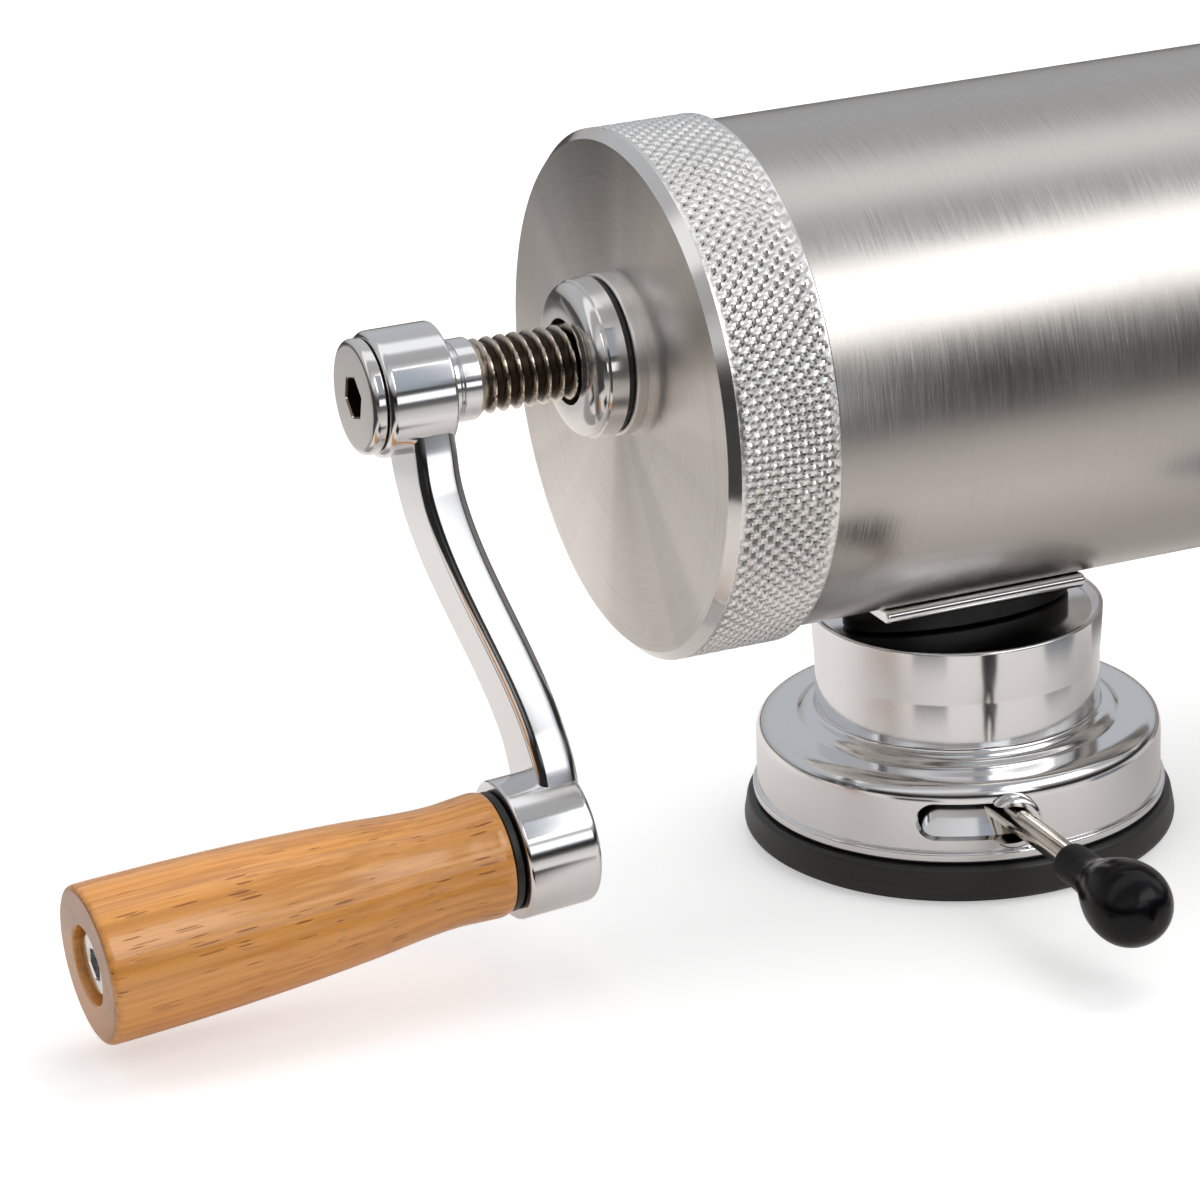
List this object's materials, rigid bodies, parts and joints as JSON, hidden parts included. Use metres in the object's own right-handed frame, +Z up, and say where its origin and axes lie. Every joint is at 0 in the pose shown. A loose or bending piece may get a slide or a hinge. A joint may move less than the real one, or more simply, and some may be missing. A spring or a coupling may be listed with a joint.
{
  "type": "sausage stuffer",
  "caption": "Horizontal screw-press sausage stuffer: barrel with piston and filling nozzle, hand crank with wooden grip, on a lever-locked suction base.",
  "frame": {"origin": "centre of the suction pad's flat underside, on the table", "axes": "+Z up from the table; +X along the barrel from the crank towards the filling nozzle; the base lever points to -Y"},
  "size_m": [0.4051, 0.1325, 0.14],
  "materials": {
    "brushed_steel": "finely brushed",
    "polished_steel": "polished",
    "chrome": "mirror polished",
    "screw_steel": "dark nickel, bronze tinged",
    "bronze": "machined",
    "brass": "machined",
    "beech": "clear lacquered",
    "rubber": "satin",
    "gloss_black": "gloss"
  },
  "bodies": {
    "barrel_and_base": {"barrel": "brushed_steel", "base_housing": "chrome", "saddle": "chrome", "saddle_screw_1": "polished_steel", "saddle_screw_2": "polished_steel", "suction_pad": "rubber", "guide_plate": "polished_steel", "rear_cap": "brushed_steel", "rear_gasket": "rubber", "lead_nut": "bronze", "gland_nut": "polished_steel", "gland_ring": "rubber"},
    "piston": {"piston_front": "polished_steel", "piston_backing": "polished_steel", "piston_seal": "rubber", "piston_bolt_1": "polished_steel", "piston_bolt_2": "polished_steel", "piston_bolt_3": "polished_steel"},
    "crank": {"lead_screw": "screw_steel", "crank_spacer": "chrome", "swivel_washer": "polished_steel", "swivel_screw": "polished_steel", "crank_arm": "chrome", "crank_end_screw": "polished_steel", "grip_spindle": "polished_steel", "spindle_washer": "polished_steel", "grip_washer": "rubber"},
    "grip": {"grip": "beech"},
    "nozzle": {"nozzle": "polished_steel", "front_gasket": "rubber"},
    "front_ring": {"front_ring": "brushed_steel"},
    "pull_stem": {"pull_stem": "polished_steel", "lift_plate": "polished_steel", "stem_nut": "brass"},
    "base_lever": {"cam_ring": "brass", "lever_rod": "chrome", "lever_knob": "gloss_black"}
  },
  "joints": [
    {"name": "piston_feed", "type": "slide", "parent": "barrel_and_base", "child": "piston", "axis": [1, 0, 0], "range_m": [-0.1265, 0.0168]},
    {"name": "crank_turn", "type": "hinge", "parent": "piston", "child": "crank", "pos_m": [-0.1052, 0, 0.1013], "axis": [1, 0, 0], "range_deg": [-18180, 2412]},
    {"name": "grip_spin", "type": "hinge", "parent": "crank", "child": "grip", "pos_m": [-0.0926, -0.02091, 0.02325], "axis": [0.998, 0.0163, 0.0607], "continuous": true},
    {"name": "nozzle_back_off", "type": "slide", "parent": "barrel_and_base", "child": "nozzle", "axis": [1, 0, 0], "range_m": [0, 0.0046]},
    {"name": "front_ring_turn", "type": "hinge", "parent": "nozzle", "child": "front_ring", "pos_m": [0.115, 0, 0.0933], "axis": [1, 0, 0], "range_deg": [0, 1080]},
    {"name": "lever_swing", "type": "hinge", "parent": "barrel_and_base", "child": "base_lever", "pos_m": [0, 0, 0.0153], "axis": [0, 0, 1], "range_deg": [-22, 0]},
    {"name": "cup_lift", "type": "slide", "parent": "barrel_and_base", "child": "pull_stem", "axis": [0, 0, 1], "range_m": [0, 0.0026]}
  ],
  "couplings": [
    {"joint": "piston_feed", "follows": "crank_turn", "m_per_rad": 0.00039789},
    {"joint": "nozzle_back_off", "follows": "front_ring_turn", "m_per_rad": 0.00023873},
    {"joint": "cup_lift", "follows": "lever_swing", "m_per_rad": -0.0065109}
  ]
}
